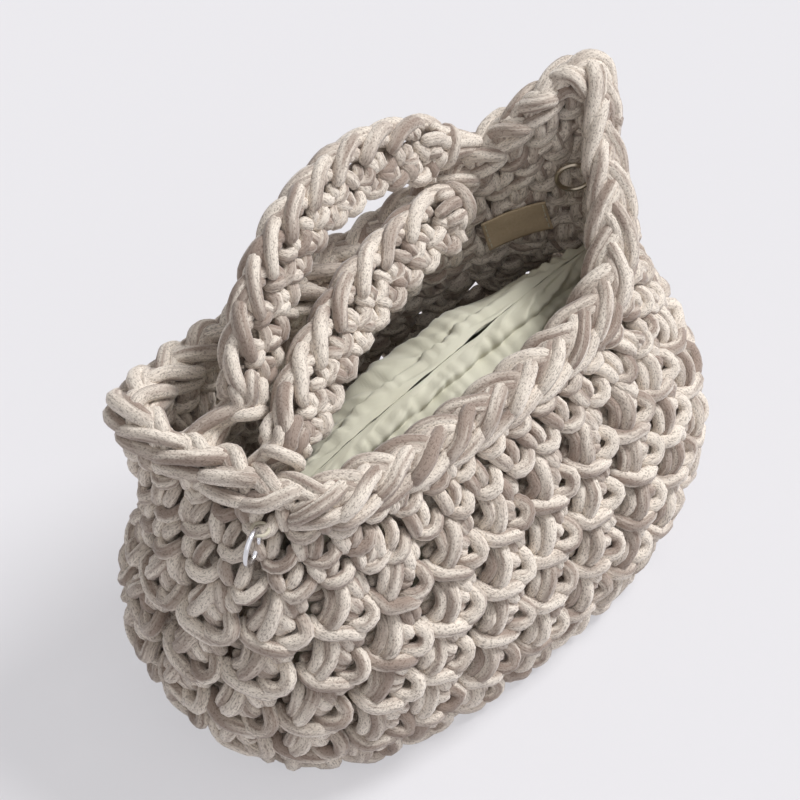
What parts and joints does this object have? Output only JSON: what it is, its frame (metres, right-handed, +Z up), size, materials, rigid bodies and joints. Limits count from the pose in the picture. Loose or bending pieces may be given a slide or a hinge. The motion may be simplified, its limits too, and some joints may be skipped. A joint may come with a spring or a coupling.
{
  "type": "small crocheted handbag",
  "caption": "Small openwork crocheted bag with a plaited rim, two short handles that flop over, a sewn pouch standing inside and two hanging rings.",
  "frame": {"origin": "on the underside of the base, below the middle of the mouth", "axes": "+X along the bag to its raised end, -Y the front, +Z up"},
  "size_m": [0.2735, 0.1519, 0.2061],
  "materials": {
    "cotton_cord": "variegated cream and taupe knitted cord",
    "pouch_cloth": "sage woven cotton",
    "label_tape": "blank tan woven label",
    "sewing_thread": "waxed thread",
    "silver_ring": "bright plated wire",
    "brassy_ring": "dull silvered wire"
  },
  "bodies": {
    "bag": {"base_panel": "cotton_cord", "mesh_course_1": "cotton_cord", "mesh_course_2": "cotton_cord", "mesh_course_3": "cotton_cord", "mesh_course_4": "cotton_cord", "rim_course_1": "cotton_cord", "rim_course_2": "cotton_cord", "rim_edge_chain": "cotton_cord", "handle_root_knots": "cotton_cord", "lining_front_panel": "pouch_cloth", "lining_back_panel": "pouch_cloth", "lining_bottom": "pouch_cloth", "lining_front_hem": "pouch_cloth", "lining_back_hem": "pouch_cloth", "label": "label_tape", "left_ring_loop": "sewing_thread", "right_ring_loop": "sewing_thread"},
    "arched_handle": {"arched_handle_band": "cotton_cord", "arched_handle_edge": "cotton_cord"},
    "low_handle": {"low_handle_band": "cotton_cord", "low_handle_edge": "cotton_cord"},
    "left_ring": {"left_ring": "silver_ring"},
    "right_ring": {"right_ring": "brassy_ring"}
  },
  "joints": [
    {"name": "arched_handle_flop", "type": "hinge", "parent": "bag", "child": "arched_handle", "pos_m": [-0.075, 0.018, 0.154], "axis": [0.9558, 0.2424, 0.1662], "range_deg": [-45, 5]},
    {"name": "low_handle_flop", "type": "hinge", "parent": "bag", "child": "low_handle", "pos_m": [-0.077, -0.007, 0.148], "axis": [0.948, 0.3065, 0.0855], "range_deg": [-2, 60]},
    {"name": "left_ring_swing", "type": "hinge", "parent": "bag", "child": "left_ring", "pos_m": [-0.10261, -0.02312, 0.13758], "axis": [0.4559, -0.89, 0], "range_deg": [-60, 0]},
    {"name": "right_ring_swing", "type": "hinge", "parent": "bag", "child": "right_ring", "pos_m": [0.10475, 0.01292, 0.16181], "axis": [0.6215, 0.7834, 0], "range_deg": [0, 60]}
  ]
}
